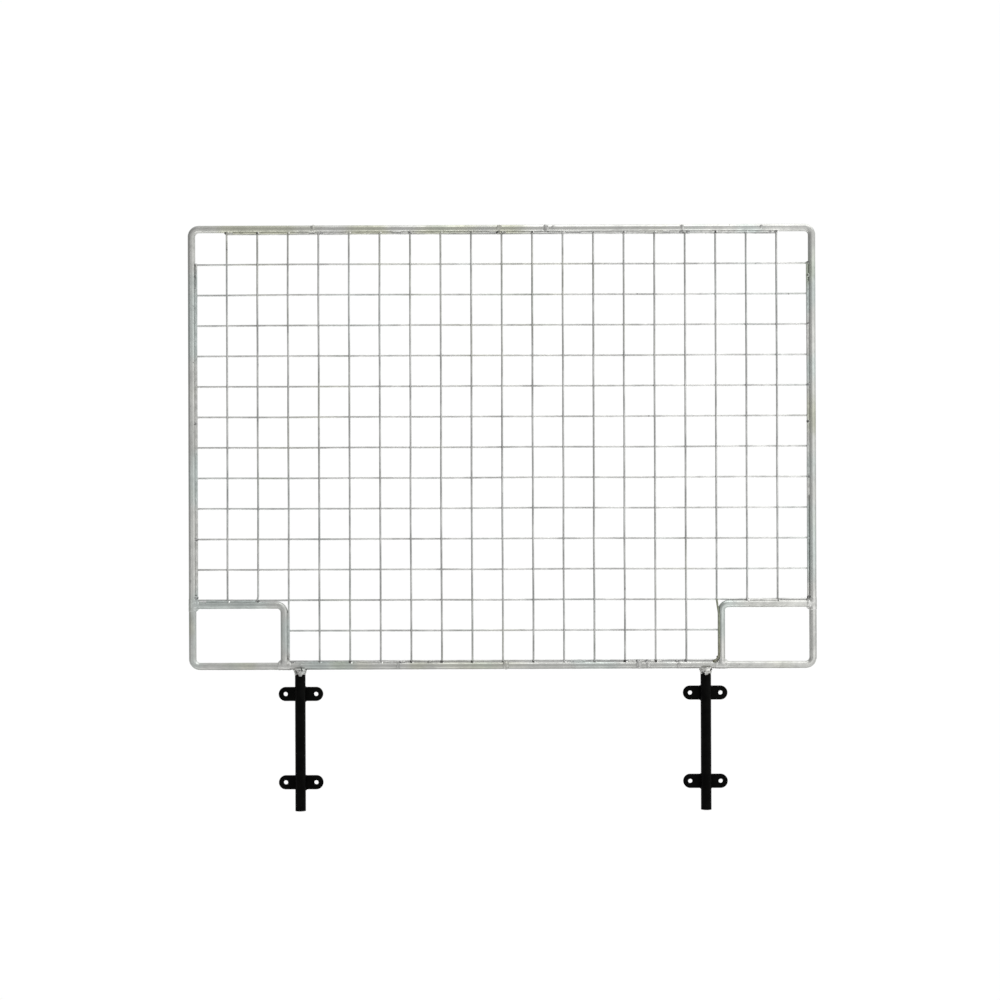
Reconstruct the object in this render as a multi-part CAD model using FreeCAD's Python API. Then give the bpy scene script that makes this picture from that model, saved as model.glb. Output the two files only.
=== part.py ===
import FreeCAD, Part
import math
import os

# Wire mesh guard panel: a bent bar frame filled with welded wire mesh, hand holes in both
# lower corners, and two legs that stand in socket brackets bolted to a wall or a door.
# Millimetres. +X is to the right seen from the front, +Y points to the wall, +Z is up.
# The origin is the middle of the wall face of the left bracket's upper lug.

# Welded mesh sheet
mesh_pitch = 50.0
cell_column_count = 20
cell_row_count = 14
wire_diameter = 3.0
wire_side_count = 4
wire_end = 1.5  # wire left past its last crossing
sheet_cut = 0.1  # between the sheet over the hand holes and the strip between them

# Round bar of the frame and of the corner bars
bar_diameter = 12.0
bend_radius = 12.0  # centre line of every bend
tack_gap = 0.3  # from an edge wire to the bar beside it, bridged by tack welds
weld_gap = 0.1  # root gap between two pieces that a bead joins

# Hand holes in the lower corners, counted in mesh cells
hand_hole_column_count = 3
hand_hole_row_count = 2

# Legs under the bottom bar
leg_spacing = 664.0
leg_diameter = 12.0
leg_reach = 200.0  # length of leg inside its socket
root_weld_height = 6.5  # from the socket's rim to the underside of the bottom bar
root_weld_climb = 3.0  # how far the bead climbs the bottom bar
root_weld_top_diameter = 21.0
root_weld_foot_diameter = 16.4  # where the bead sits on the socket's rim

# Socket brackets
leg_clearance = 0.3  # all round, between the leg and the socket's bore
socket_wall = 2.3
socket_length = 224.0
lug_drop = 34.0  # from the socket's rim to the middle of the upper lug
lug_spacing = 145.0
lug_thickness = 3.0
lug_height = 23.0
lug_hole_spacing = 50.0
lug_hole_diameter = 7.0

# Sizes that follow from those above
wire_radius = wire_diameter / 2
bar_radius = bar_diameter / 2
leg_radius = leg_diameter / 2
socket_bore_radius = leg_radius + leg_clearance
socket_radius = socket_bore_radius + socket_wall
edge_offset = bar_radius + tack_gap + wire_radius  # bar centre to edge wire centre

# Planes and heights that the pieces share
panel_y = -(lug_thickness + weld_gap + socket_radius)
middle_x = leg_spacing / 2
rim_z = lug_drop
bottom_bar_z = rim_z + root_weld_height + bar_radius
front_wires_y = panel_y - wire_radius
rear_wires_y = panel_y + wire_radius

LEFT_TO_RIGHT = FreeCAD.Vector(1, 0, 0)
FRONT_TO_WALL = FreeCAD.Vector(0, 1, 0)
UP = FreeCAD.Vector(0, 0, 1)


def column_x(column):
    """Middle of an upright wire, counted from the left edge of the sheet."""
    return middle_x + (column - cell_column_count / 2) * mesh_pitch


def row_z(row):
    """Middle of a level wire, counted from the bottom edge of the sheet."""
    return bottom_bar_z + edge_offset + row * mesh_pitch


# Centre lines of the frame's four sides and of the right corner bar
left_bar_x = column_x(0) - edge_offset
right_bar_x = column_x(cell_column_count) + edge_offset
top_bar_z = row_z(cell_row_count) + edge_offset
corner_bar_z = row_z(hand_hole_row_count) - edge_offset
corner_bar_x = column_x(cell_column_count - hand_hole_column_count) + edge_offset


def on_panel(x, z):
    """Point of the panel's middle plane."""
    return FreeCAD.Vector(x, panel_y, z)


def bend(before, corner, after):
    """Arc of a square bend at one corner of a bar's centre line."""
    to_before = (before - corner).normalize()
    to_after = (after - corner).normalize()
    inward = (to_before + to_after).normalize()
    nearest = corner + inward * (bend_radius * (math.sqrt(2) - 1))
    return Part.Arc(corner + to_before * bend_radius, nearest, corner + to_after * bend_radius)


def bent_bar(points):
    """Round bar along straight runs joined by bends at all points but the two ends."""
    bends = [bend(*points[i - 1:i + 2]) for i in range(1, len(points) - 1)]
    stops = [points[0]]
    for arc in bends:
        stops += [arc.StartPoint, arc.EndPoint]
    stops.append(points[-1])
    runs = [Part.LineSegment(stops[i], stops[i + 1]) for i in range(0, len(stops), 2)]
    pieces = [runs[0]]
    for arc, run in zip(bends, runs[1:]):
        pieces += [arc, run]
    path = Part.Wire([piece.toShape() for piece in pieces])
    section = Part.Wire(Part.Circle(points[0], points[1] - points[0], bar_radius).toShape())
    return path.makePipeShell([section], True, True)


def perimeter_frame():
    """Bar bent round the panel in one loop, closed by a butt weld in the top side."""
    butt = on_panel(column_x(4), top_bar_z)
    corners = [
        on_panel(right_bar_x, top_bar_z),
        on_panel(right_bar_x, bottom_bar_z),
        on_panel(left_bar_x, bottom_bar_z),
        on_panel(left_bar_x, top_bar_z),
    ]
    return bent_bar([butt] + corners + [butt])


def corner_bar():
    """Bent bar round the right hand hole, sawn square against the side bar and the bottom bar."""
    to_bar = bar_radius + weld_gap
    return bent_bar([
        on_panel(right_bar_x - to_bar, corner_bar_z),
        on_panel(corner_bar_x, corner_bar_z),
        on_panel(corner_bar_x, bottom_bar_z + to_bar),
    ])


def wire(start, end):
    """Straight wire with a flat towards the other layer of the mesh."""
    along = (end - start).normalize()
    across = along.cross(FRONT_TO_WALL)
    corner_radius = wire_radius / math.cos(math.pi / wire_side_count)
    corners = []
    for side in range(wire_side_count):
        angle = (2 * side + 1) * math.pi / wire_side_count
        spoke = FRONT_TO_WALL * math.cos(angle) + across * math.sin(angle)
        corners.append(start + spoke * corner_radius)
    section = Part.Face(Part.makePolygon(corners + corners[:1]))
    return section.extrude(end - start)


def upright_wire(column, bottom_z, top_z):
    """Front wire of one column."""
    return wire(
        FreeCAD.Vector(column_x(column), front_wires_y, bottom_z),
        FreeCAD.Vector(column_x(column), front_wires_y, top_z),
    )


def level_wire(row, inset):
    """Rear wire of one row, stopped a number of columns short of each edge of the sheet."""
    return wire(
        FreeCAD.Vector(column_x(inset) - wire_end, rear_wires_y, row_z(row)),
        FreeCAD.Vector(column_x(cell_column_count - inset) + wire_end, rear_wires_y, row_z(row)),
    )


def upper_mesh():
    """Full width of the sheet above the hand holes, clipped at the frame's top corners."""
    bottom_z = row_z(hand_hole_row_count) - wire_end
    wires = []
    for column in range(cell_column_count + 1):
        at_edge = column in (0, cell_column_count)
        top_row = cell_row_count - 1 if at_edge else cell_row_count
        wires.append(upright_wire(column, bottom_z, row_z(top_row) + wire_end))
    for row in range(hand_hole_row_count, cell_row_count + 1):
        wires.append(level_wire(row, 1 if row == cell_row_count else 0))
    return wires[0].multiFuse(wires[1:])


def lower_mesh():
    """Strip of the sheet between the hand holes."""
    bottom_z = row_z(0) - wire_end
    top_z = row_z(hand_hole_row_count) - wire_end - sheet_cut
    first = hand_hole_column_count
    last = cell_column_count - hand_hole_column_count
    wires = [upright_wire(column, bottom_z, top_z) for column in range(first, last + 1)]
    wires += [level_wire(row, hand_hole_column_count) for row in range(hand_hole_row_count)]
    return wires[0].multiFuse(wires[1:])


def wire_mesh():
    """Sheet of upright and level wires fused at every crossing, in two parts."""
    return Part.makeCompound(upper_mesh().Solids + lower_mesh().Solids)


def leg(x):
    """Round leg with the bead at its root, coped to the bottom bar."""
    tip_z = rim_z - leg_reach
    bar_underside_z = bottom_bar_z - bar_radius
    outline = [
        (0, tip_z),
        (leg_radius, tip_z),
        (leg_radius, rim_z),
        (root_weld_foot_diameter / 2, rim_z),
        (root_weld_top_diameter / 2, bar_underside_z + root_weld_climb),
        (0, bar_underside_z + root_weld_climb),
    ]
    corners = [on_panel(x + radius, z) for radius, z in outline]
    half = Part.Face(Part.makePolygon(corners + corners[:1]))
    turned = half.revolve(on_panel(x, 0), UP, 360)
    bar_start = on_panel(left_bar_x, bottom_bar_z)
    bar_length = right_bar_x - left_bar_x
    return turned.cut(Part.makeCylinder(bar_radius + weld_gap, bar_length, bar_start, LEFT_TO_RIGHT))


def socket(x):
    """Open tube that the leg stands in."""
    foot = on_panel(x, rim_z - socket_length)
    tube = Part.makeCylinder(socket_radius, socket_length, foot, UP)
    return tube.cut(Part.makeCylinder(socket_bore_radius, socket_length, foot, UP))


def lug(x, z):
    """Flat plate with round ends and a bolt hole in the middle of each end."""
    reach = lug_hole_spacing / 2
    end_radius = lug_height / 2

    def on_face(across, up):
        return FreeCAD.Vector(x + across, -lug_thickness, z + up)

    outline = [
        Part.LineSegment(on_face(-reach, end_radius), on_face(reach, end_radius)),
        Part.Arc(on_face(reach, end_radius), on_face(reach + end_radius, 0), on_face(reach, -end_radius)),
        Part.LineSegment(on_face(reach, -end_radius), on_face(-reach, -end_radius)),
        Part.Arc(on_face(-reach, -end_radius), on_face(-reach - end_radius, 0), on_face(-reach, end_radius)),
    ]
    face = Part.Face(Part.Wire([piece.toShape() for piece in outline]))
    plate = face.extrude(FRONT_TO_WALL * lug_thickness)
    for across in (-reach, reach):
        hole = Part.makeCylinder(lug_hole_diameter / 2, lug_thickness, on_face(across, 0), FRONT_TO_WALL)
        plate = plate.cut(hole)
    return plate


def bracketed_leg(side, x):
    """Leg, socket and both lugs of one side, by node name."""
    return {
        f"leg_{side}": leg(x),
        f"socket_{side}": socket(x),
        f"upper_lug_{side}": lug(x, 0),
        f"lower_lug_{side}": lug(x, -lug_spacing),
    }


def all_nodes():
    """Every piece of the panel, by node name."""
    right_corner = corner_bar()
    nodes = {
        "perimeter_frame": perimeter_frame(),
        "corner_bar_left": right_corner.mirror(on_panel(middle_x, 0), LEFT_TO_RIGHT),
        "corner_bar_right": right_corner,
        "wire_mesh": wire_mesh(),
    }
    nodes.update(bracketed_leg("left", 0))
    nodes.update(bracketed_leg("right", leg_spacing))
    return nodes


os.makedirs("parts", exist_ok=True)
for name, shape in all_nodes().items():
    print(name, len(shape.Solids), "solid", shape.isValid(), round(shape.Volume), "mm3")
    shape.exportStep(f"parts/{name}.step")
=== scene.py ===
"""Dresses the wire mesh guard panel: round wires, welds, zinc and black paint, studio and camera.

Metres. +X is to the right seen from the front, +Y points to the wall, +Z is up.
"""

import logging
import math
from dataclasses import dataclass, fields, replace
from enum import Enum
from typing import Any, Iterable, Sequence

import bmesh
import bpy
from bpy.types import Material, Mesh, NodeSocket, NodeTree, Object
from mathutils import Euler, Matrix, Vector, noise


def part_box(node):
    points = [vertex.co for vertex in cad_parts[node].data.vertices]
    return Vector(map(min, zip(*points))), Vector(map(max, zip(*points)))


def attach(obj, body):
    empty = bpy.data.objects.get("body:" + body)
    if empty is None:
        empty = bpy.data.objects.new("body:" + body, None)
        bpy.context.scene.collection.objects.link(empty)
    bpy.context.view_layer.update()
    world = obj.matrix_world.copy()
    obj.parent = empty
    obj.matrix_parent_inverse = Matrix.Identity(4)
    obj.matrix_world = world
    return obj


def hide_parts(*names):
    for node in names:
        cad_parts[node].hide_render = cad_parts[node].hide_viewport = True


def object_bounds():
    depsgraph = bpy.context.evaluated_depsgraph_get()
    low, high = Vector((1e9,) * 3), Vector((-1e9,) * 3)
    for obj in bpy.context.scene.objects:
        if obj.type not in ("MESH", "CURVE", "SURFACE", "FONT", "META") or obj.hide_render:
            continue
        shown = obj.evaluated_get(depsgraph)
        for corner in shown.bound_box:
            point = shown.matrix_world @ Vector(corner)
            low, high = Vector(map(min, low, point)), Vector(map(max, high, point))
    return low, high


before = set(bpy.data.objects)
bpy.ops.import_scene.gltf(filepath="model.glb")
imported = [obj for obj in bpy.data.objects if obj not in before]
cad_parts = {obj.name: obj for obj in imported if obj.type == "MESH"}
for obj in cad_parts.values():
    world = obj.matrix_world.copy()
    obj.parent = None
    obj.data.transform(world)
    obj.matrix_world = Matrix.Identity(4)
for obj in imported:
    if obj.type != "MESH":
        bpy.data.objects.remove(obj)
CAD_LOW, CAD_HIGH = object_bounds()

LOG = logging.getLogger("guard_panel")
BODY = "root"
MM = 0.001

Triple = tuple[float, float, float]
Span = tuple[float, float]
Path = list[Vector]

WHITE: Triple = (1.0, 1.0, 1.0)


class Slot(Enum):
    """Material slots of the record."""

    BAR = "galvanised_steel"
    WIRE = "galvanised_wire"
    PAINT = "black_paint"


class Side(Enum):
    """Halves of the panel, with the direction in which each one lies."""

    LEFT = -1
    RIGHT = 1

    @property
    def word(self) -> str:
        """Name of the side as the CAD nodes spell it."""
        return self.name.lower()


def opaque(colour: Triple) -> tuple[float, float, float, float]:
    """Colour with its alpha."""
    return (*colour, 1.0)


def label(field: str) -> str:
    """Name of the socket that a field feeds."""
    return field.replace("_", " ").title()


def circle(count: int) -> list[Span]:
    """Cosine and sine of evenly spaced angles round a full turn."""
    angles = [2 * math.pi * i / count for i in range(count)]
    return [(math.cos(angle), math.sin(angle)) for angle in angles]


def linked(name: str, data: bpy.types.ID) -> Object:
    """Adds an object to the scene.

    Args:
        name: Name of the object.
        data: Mesh, light or camera that it holds.

    Returns:
        The new object.
    """
    thing = bpy.data.objects.new(name, data)
    bpy.context.scene.collection.objects.link(thing)
    return thing


def plain_mesh(carrier: Object, name: str) -> Mesh:
    """Works an object's modifiers into a plain mesh and removes the object.

    Args:
        carrier: Object whose modifiers make the shape.
        name: Name of the mesh.

    Returns:
        The new mesh.
    """
    graph = bpy.context.evaluated_depsgraph_get()
    shape = carrier.evaluated_get(graph)
    mesh = bpy.data.meshes.new_from_object(shape, preserve_all_data_layers=True, depsgraph=graph)
    rough = carrier.data
    bpy.data.objects.remove(carrier)
    bpy.data.meshes.remove(rough)
    mesh.name = name
    return mesh


def settle(piece: Object, slot: Slot, *replaced: str) -> None:
    """Joins a finished piece to the frame and reports it.

    Args:
        piece: Object at the origin.
        slot: Material slot of the record; not used.
        replaced: CAD nodes that the piece stands for.
    """
    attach(piece, BODY)
    if replaced:
        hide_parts(*replaced)
    LOG.info("%s: %d faces", piece.name, len(piece.data.polygons))


def dress_node(name: str, material: Material) -> None:
    """Gives a CAD node its finish.

    Args:
        name: Name of the node.
        material: Material to show.
    """
    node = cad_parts[name]
    node.data.materials.clear()
    node.data.materials.append(material)
    LOG.info("%s: dressed in %s", name, material.name)


class TreeBuilder:
    """Adds nodes to a node tree and joins them as it goes."""

    def __init__(self, tree: NodeTree) -> None:
        """Takes the tree that the nodes go into."""
        self.tree = tree

    def add(self, kind: str, inputs: dict[Any, Any] | None = None, **settings: Any) -> Any:
        """Adds one node.

        Args:
            kind: Blender's identifier of the node.
            inputs: Values or output sockets by input name or number.
            settings: Properties of the node itself.

        Returns:
            Outputs of the node.
        """
        node = self.tree.nodes.new(kind)
        for name, value in settings.items():
            setattr(node, name, value)
        for key, value in (inputs or {}).items():
            if isinstance(value, NodeSocket):
                self.tree.links.new(value, node.inputs[key])
            else:
                node.inputs[key].default_value = value
        return node.outputs

    def math(self, operation: str, first: Any, second: Any = 0.0) -> NodeSocket:
        """Result of a sum on two numbers or sockets."""
        return self.add("ShaderNodeMath", {0: first, 1: second}, operation=operation)[0]

    def vector(self, operation: str, first: Any, second: Any) -> NodeSocket:
        """Result of a sum on two vectors, or on a vector and its scale."""
        key = "Scale" if operation == "SCALE" else 1
        return self.add("ShaderNodeVectorMath", {0: first, key: second}, operation=operation)["Vector"]

    def noise(self, place: Any, scale: Any, detail: float, **more: Any) -> Any:
        """Outputs of a noise texture, which has a fourth dimension where its other inputs hold a seed, W."""
        inputs = {"Vector": place, "Scale": scale, "Detail": detail, **more}
        return self.add("ShaderNodeTexNoise", inputs, noise_dimensions="4D" if "W" in more else "3D")

    def between(
        self, value: Any, low: float, high: float, first: float = 0.0, last: float = 1.0
    ) -> NodeSocket:
        """Smooth step of a value, from the first result at its low end to the last at its high end."""
        inputs = {"Value": value, 1: low, 2: high, 3: first, 4: last}
        return self.add("ShaderNodeMapRange", inputs, interpolation_type="SMOOTHSTEP")["Result"]

    def blend(self, share: Any, first: Any, second: Any, mode: str = "MIX") -> NodeSocket:
        """Mix of two colours, by the share of the second one that shows."""
        inputs = {0: share, 6: first, 7: second}
        return self.add("ShaderNodeMix", inputs, data_type="RGBA", blend_type=mode)[2]

    def pick(self, share: NodeSocket, first: Any, second: Any) -> NodeSocket:
        """Mix of two numbers, by the share of the second one that counts."""
        return self.add("ShaderNodeMix", {0: share, 2: first, 3: second}, data_type="FLOAT")[0]

    def surface(self, inputs: dict[str, Any], bump: float, depth: float, height: NodeSocket) -> None:
        """Ends a material in the Principled shader with a bump.

        Args:
            inputs: Inputs of the shader, without its normal.
            bump: Strength of the bump.
            depth: Depth of the bump.
            height: Height that the bump follows.
        """
        relief = self.add("ShaderNodeBump", {"Strength": bump, "Distance": depth, "Height": height})
        shader = self.add("ShaderNodeBsdfPrincipled", {**inputs, "Normal": relief["Normal"]})
        self.add("ShaderNodeOutputMaterial", {"Surface": shader["BSDF"]})


class GroupBuilder(TreeBuilder):
    """Makes a node group with its sockets and adds nodes to it."""

    def __init__(self, name: str, kind: str, inputs: dict[str, str], outputs: dict[str, str]) -> None:
        """Makes the group.

        Args:
            name: Name of the group.
            kind: Blender's identifier of the tree.
            inputs: Kind of each input by its name.
            outputs: Kind of each output by its name.
        """
        super().__init__(bpy.data.node_groups.new(name, kind))
        for direction, kinds in (("INPUT", inputs), ("OUTPUT", outputs)):
            for socket, what in kinds.items():
                self.tree.interface.new_socket(socket, in_out=direction, socket_type=f"NodeSocket{what}")
        self.given = self.add("NodeGroupInput")

    def end(self, results: dict[str, NodeSocket]) -> NodeTree:
        """Joins the results to the group's outputs and gives the finished group."""
        self.add("NodeGroupOutput", results)
        return self.tree


def new_material(name: str) -> tuple[Material, TreeBuilder]:
    """Makes a material that has no nodes yet.

    Args:
        name: Name of the material.

    Returns:
        The material and a builder on its tree.
    """
    material = bpy.data.materials.new(name)
    material.use_nodes = True
    material.node_tree.nodes.clear()
    return material, TreeBuilder(material.node_tree)


@dataclass(frozen=True)
class Cast:
    """Faint tint of passivated zinc that lies in patches."""

    tint: Triple
    shift: Triple
    scale: float
    edges: Span


@dataclass(frozen=True)
class ShaderGroups:
    """Effects that more than one finish uses, each built once."""

    casts: tuple[Cast, ...] = (
        Cast((0.74, 0.76, 0.42), (5.4, 6.1, -1.8), scale=7.0, edges=(0.54, 0.68)),
        Cast((0.72, 0.90, 0.92), (-6.7, -3.7, -7.9), scale=8.5, edges=(0.52, 0.66)),
    )
    mottle_edges: Span = (0.3, 0.7)
    crystal_share: float = 0.2
    crystal_height: float = 0.3
    mark_edge: float = 0.05

    def zinc_patina(self) -> NodeTree:
        """Mottled zinc with faint crystals and the yellow-green and blue casts of passivation.

        Returns:
            Group with a colour, a mottle mask and a height.
        """
        inputs = {"Place": "Vector", "Light": "Color", "Dark": "Color"}
        inputs |= {"Mottle Scale": "Float", "Crystal Scale": "Float", "Cast": "Float"}
        outputs = {"Colour": "Color", "Mottle": "Float", "Height": "Float"}
        group = GroupBuilder("zinc_patina", "ShaderNodeTree", inputs, outputs)
        given, place = group.given, group.given["Place"]
        mottle = group.noise(place, given["Mottle Scale"], detail=6.0, Roughness=0.6)["Fac"]
        cells = group.add("ShaderNodeTexVoronoi", {"Vector": place, "Scale": given["Crystal Scale"]})
        crystal = group.add("ShaderNodeSeparateColor", {"Color": cells["Color"]})[0]
        patches = group.between(mottle, *self.mottle_edges, 0.0, 1.0 - self.crystal_share)
        mask = group.math("ADD", patches, group.math("MULTIPLY", crystal, self.crystal_share))
        colour = group.blend(mask, given["Dark"], given["Light"])
        for cast in self.casts:
            spots = group.noise(group.vector("ADD", place, cast.shift), cast.scale, detail=2.0)["Fac"]
            share = group.math("MULTIPLY", group.between(spots, *cast.edges), given["Cast"])
            colour = group.blend(share, colour, opaque(cast.tint), "MULTIPLY")
        swell = group.math("MULTIPLY", mottle, 1.0 - self.crystal_height)
        height = group.math("ADD", swell, group.math("MULTIPLY", crystal, self.crystal_height))
        return group.end({"Colour": colour, "Mottle": mask, "Height": height})

    def specks(self) -> NodeTree:
        """Small scattered marks, such as soot on zinc or chips and dust on paint.

        Returns:
            Group with a mask of the marks and a fine grain height.
        """
        inputs = {"Place": "Vector", "Mark Scale": "Float", "Threshold": "Float", "Grain Scale": "Float"}
        group = GroupBuilder("specks", "ShaderNodeTree", inputs, {"Mask": "Float", "Grain": "Float"})
        given, place = group.given, group.given["Place"]
        marks = group.noise(place, given["Mark Scale"], detail=5.0, Roughness=0.65)["Fac"]
        mask = group.between(group.math("SUBTRACT", marks, given["Threshold"]), 0.0, self.mark_edge)
        grain = group.noise(place, given["Grain Scale"], detail=2.0)["Fac"]
        return group.end({"Mask": mask, "Grain": grain})


@dataclass(frozen=True)
class ZincFinish:
    """Dull zinc on steel, with soot where it was welded."""

    light: Triple
    dark: Triple
    mottle_scale: float
    soot_threshold: float
    crystal_scale: float = 500.0
    cast: float = 0.3
    soot_colour: Triple = (0.05, 0.048, 0.045)
    soot_scale: float = 160.0
    soot_dulling: float = 0.7
    grain_scale: float = 1500.0
    grain_height: float = 0.3
    smoothest: float = 0.30
    roughest: float = 0.46
    bump: float = 0.2
    bump_depth: float = 0.4 * MM

    def material(self, name: str, patina: NodeTree, specks: NodeTree) -> Material:
        """Builds the material.

        Args:
            name: Name of the material.
            patina: Shader group of the zinc.
            specks: Shader group of the marks.

        Returns:
            The new material.
        """
        material, build = new_material(name)
        place = build.add("ShaderNodeTexCoord")["Object"]
        coat = {"Place": place, "Light": opaque(self.light), "Dark": opaque(self.dark), "Cast": self.cast}
        coat |= {"Mottle Scale": self.mottle_scale, "Crystal Scale": self.crystal_scale}
        zinc = build.add("ShaderNodeGroup", coat, node_tree=patina)
        marks = {"Place": place, "Mark Scale": self.soot_scale, "Threshold": self.soot_threshold}
        soot = build.add("ShaderNodeGroup", {**marks, "Grain Scale": self.grain_scale}, node_tree=specks)
        colour = build.blend(soot["Mask"], zinc["Colour"], opaque(self.soot_colour))
        rough = build.between(zinc["Mottle"], 0.0, 1.0, self.roughest, self.smoothest)
        metal = build.math("SUBTRACT", 1.0, build.math("MULTIPLY", soot["Mask"], self.soot_dulling))
        height = build.math("ADD", zinc["Height"], build.math("MULTIPLY", soot["Grain"], self.grain_height))
        inputs = {"Base Color": colour, "Roughness": rough, "Metallic": metal}
        build.surface(inputs, self.bump, self.bump_depth, height)
        return material


@dataclass(frozen=True)
class PaintFinish:
    """Satin black paint with a fine texture, dull patches and a few rubbed specks."""

    colour: Triple = (0.0014, 0.0014, 0.0012)
    dusty: Triple = (0.0032, 0.0032, 0.0028)
    dust_scale: float = 45.0
    dust_edges: Span = (0.4, 0.65)
    rubbed: Triple = (0.02, 0.02, 0.019)
    rubbed_scale: float = 210.0
    rubbed_threshold: float = 0.735
    grain_scale: float = 900.0
    sheen: float = 0.03
    dull_edges: Span = (0.35, 0.7)
    smoothest: float = 0.34
    roughest: float = 0.5
    bump: float = 0.2
    bump_depth: float = 0.3 * MM

    def material(self, name: str, specks: NodeTree) -> Material:
        """Builds the material.

        Args:
            name: Name of the material.
            specks: Shader group of the marks.

        Returns:
            The new material.
        """
        material, build = new_material(name)
        place = build.add("ShaderNodeTexCoord")["Object"]
        dust = build.noise(place, self.dust_scale, detail=5.0)["Fac"]
        chips = {"Place": place, "Mark Scale": self.rubbed_scale, "Threshold": self.rubbed_threshold}
        marks = build.add("ShaderNodeGroup", {**chips, "Grain Scale": self.grain_scale}, node_tree=specks)
        painted = build.blend(build.between(dust, *self.dust_edges), opaque(self.colour), opaque(self.dusty))
        colour = build.blend(marks["Mask"], painted, opaque(self.rubbed))
        rough = build.between(dust, *self.dull_edges, self.smoothest, self.roughest)
        inputs = {"Base Color": colour, "Roughness": rough, "Specular IOR Level": self.sheen}
        build.surface(inputs, self.bump, self.bump_depth, marks["Grain"])
        return material


ZINCS = {
    "bar": ZincFinish(
        (0.565, 0.567, 0.543), (0.43, 0.433, 0.416), mottle_scale=34.0, soot_threshold=0.68,
        crystal_scale=260.0, cast=0.34,
    ),
    # Darker copy of the wire zinc for the upright wires: painted shade, since the uprights face the darker
    # sides of the room.
    "upright": ZincFinish(
        (0.60, 0.602, 0.588), (0.315, 0.317, 0.31), mottle_scale=28.0, soot_threshold=0.67, cast=0.12,
    ),
    # Lighter copy of the same wire zinc for the level wires and their crossing welds: painted light from
    # above.
    "level": ZincFinish(
        (0.65, 0.652, 0.637), (0.375, 0.377, 0.37), mottle_scale=28.0, soot_threshold=0.67, cast=0.12,
    ),
    # Dark, olive-tinted copy of the wire zinc for the hooked wire: painted shade where it lies in the nook
    # beside the right corner bar.
    "olive": ZincFinish(
        (0.36, 0.362, 0.275), (0.20, 0.202, 0.145), mottle_scale=60.0, soot_threshold=0.62, cast=0.35,
    ),
    "weld": ZincFinish(
        (0.62, 0.62, 0.60), (0.30, 0.30, 0.29), mottle_scale=210.0, soot_threshold=0.62,
        crystal_scale=420.0, soot_scale=260.0, bump=0.5,
    ),
    "root": ZincFinish(
        (0.86, 0.86, 0.83), (0.22, 0.22, 0.21), mottle_scale=150.0, soot_threshold=0.53,
        crystal_scale=420.0, soot_colour=(0.022, 0.022, 0.02), soot_scale=170.0, bump=0.6,
    ),
    # Slightly lighter copy of the bar zinc for the right corner bar: painted light for its brighter
    # highlights.
    "warm": ZincFinish(
        (0.585, 0.587, 0.56), (0.445, 0.447, 0.425), mottle_scale=34.0, soot_threshold=0.68,
        crystal_scale=260.0, cast=0.34,
    ),
    # Near-white, smooth zinc for the beads right of each wire tip: real spatter, whose whiteness is a painted
    # highlight of light from the right.
    "bright": ZincFinish(
        (0.95, 0.95, 0.93), (0.74, 0.74, 0.73), mottle_scale=300.0, soot_threshold=0.72, cast=0.1,
        smoothest=0.2, roughest=0.34, bump=0.3,
    ),
    # Lighter copy of the weld zinc for the seam welds, the corner joint welds and the edge wires: painted
    # light that lifts the nooks beside the bars out of their shade.
    "fill": ZincFinish(
        (0.62, 0.62, 0.60), (0.43, 0.432, 0.415), mottle_scale=120.0, soot_threshold=0.67,
        crystal_scale=420.0, cast=0.4, soot_scale=220.0, bump=0.4,
    ),
    "tack": ZincFinish(
        (0.50, 0.50, 0.49), (0.20, 0.20, 0.20), mottle_scale=260.0, soot_threshold=0.52,
        soot_scale=300.0, bump=0.5,
    ),
    "burnt": ZincFinish(
        (0.30, 0.30, 0.29), (0.10, 0.10, 0.10), mottle_scale=260.0, soot_threshold=0.46,
        soot_scale=300.0, bump=0.5,
    ),
}


@dataclass(frozen=True)
class Finishes:
    """Every material of the panel. Some are lighter or darker copies of one zinc that stand for painted light
    or painted shade on the parts that wear them.
    """

    bar: Material
    warm: Material
    upright: Material
    level: Material
    olive: Material
    weld: Material
    root: Material
    bright: Material
    fill: Material
    tack: Material
    burnt: Material
    paint: Material

    @classmethod
    def mixed(cls) -> "Finishes":
        """Builds the shared groups and then each finish.

        Returns:
            The materials.
        """
        groups = ShaderGroups()
        patina, specks = groups.zinc_patina(), groups.specks()
        zincs = {key: zinc.material(f"{key}_zinc", patina, specks) for key, zinc in ZINCS.items()}
        return cls(**zincs, paint=PaintFinish().material("satin_black", specks))


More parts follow.
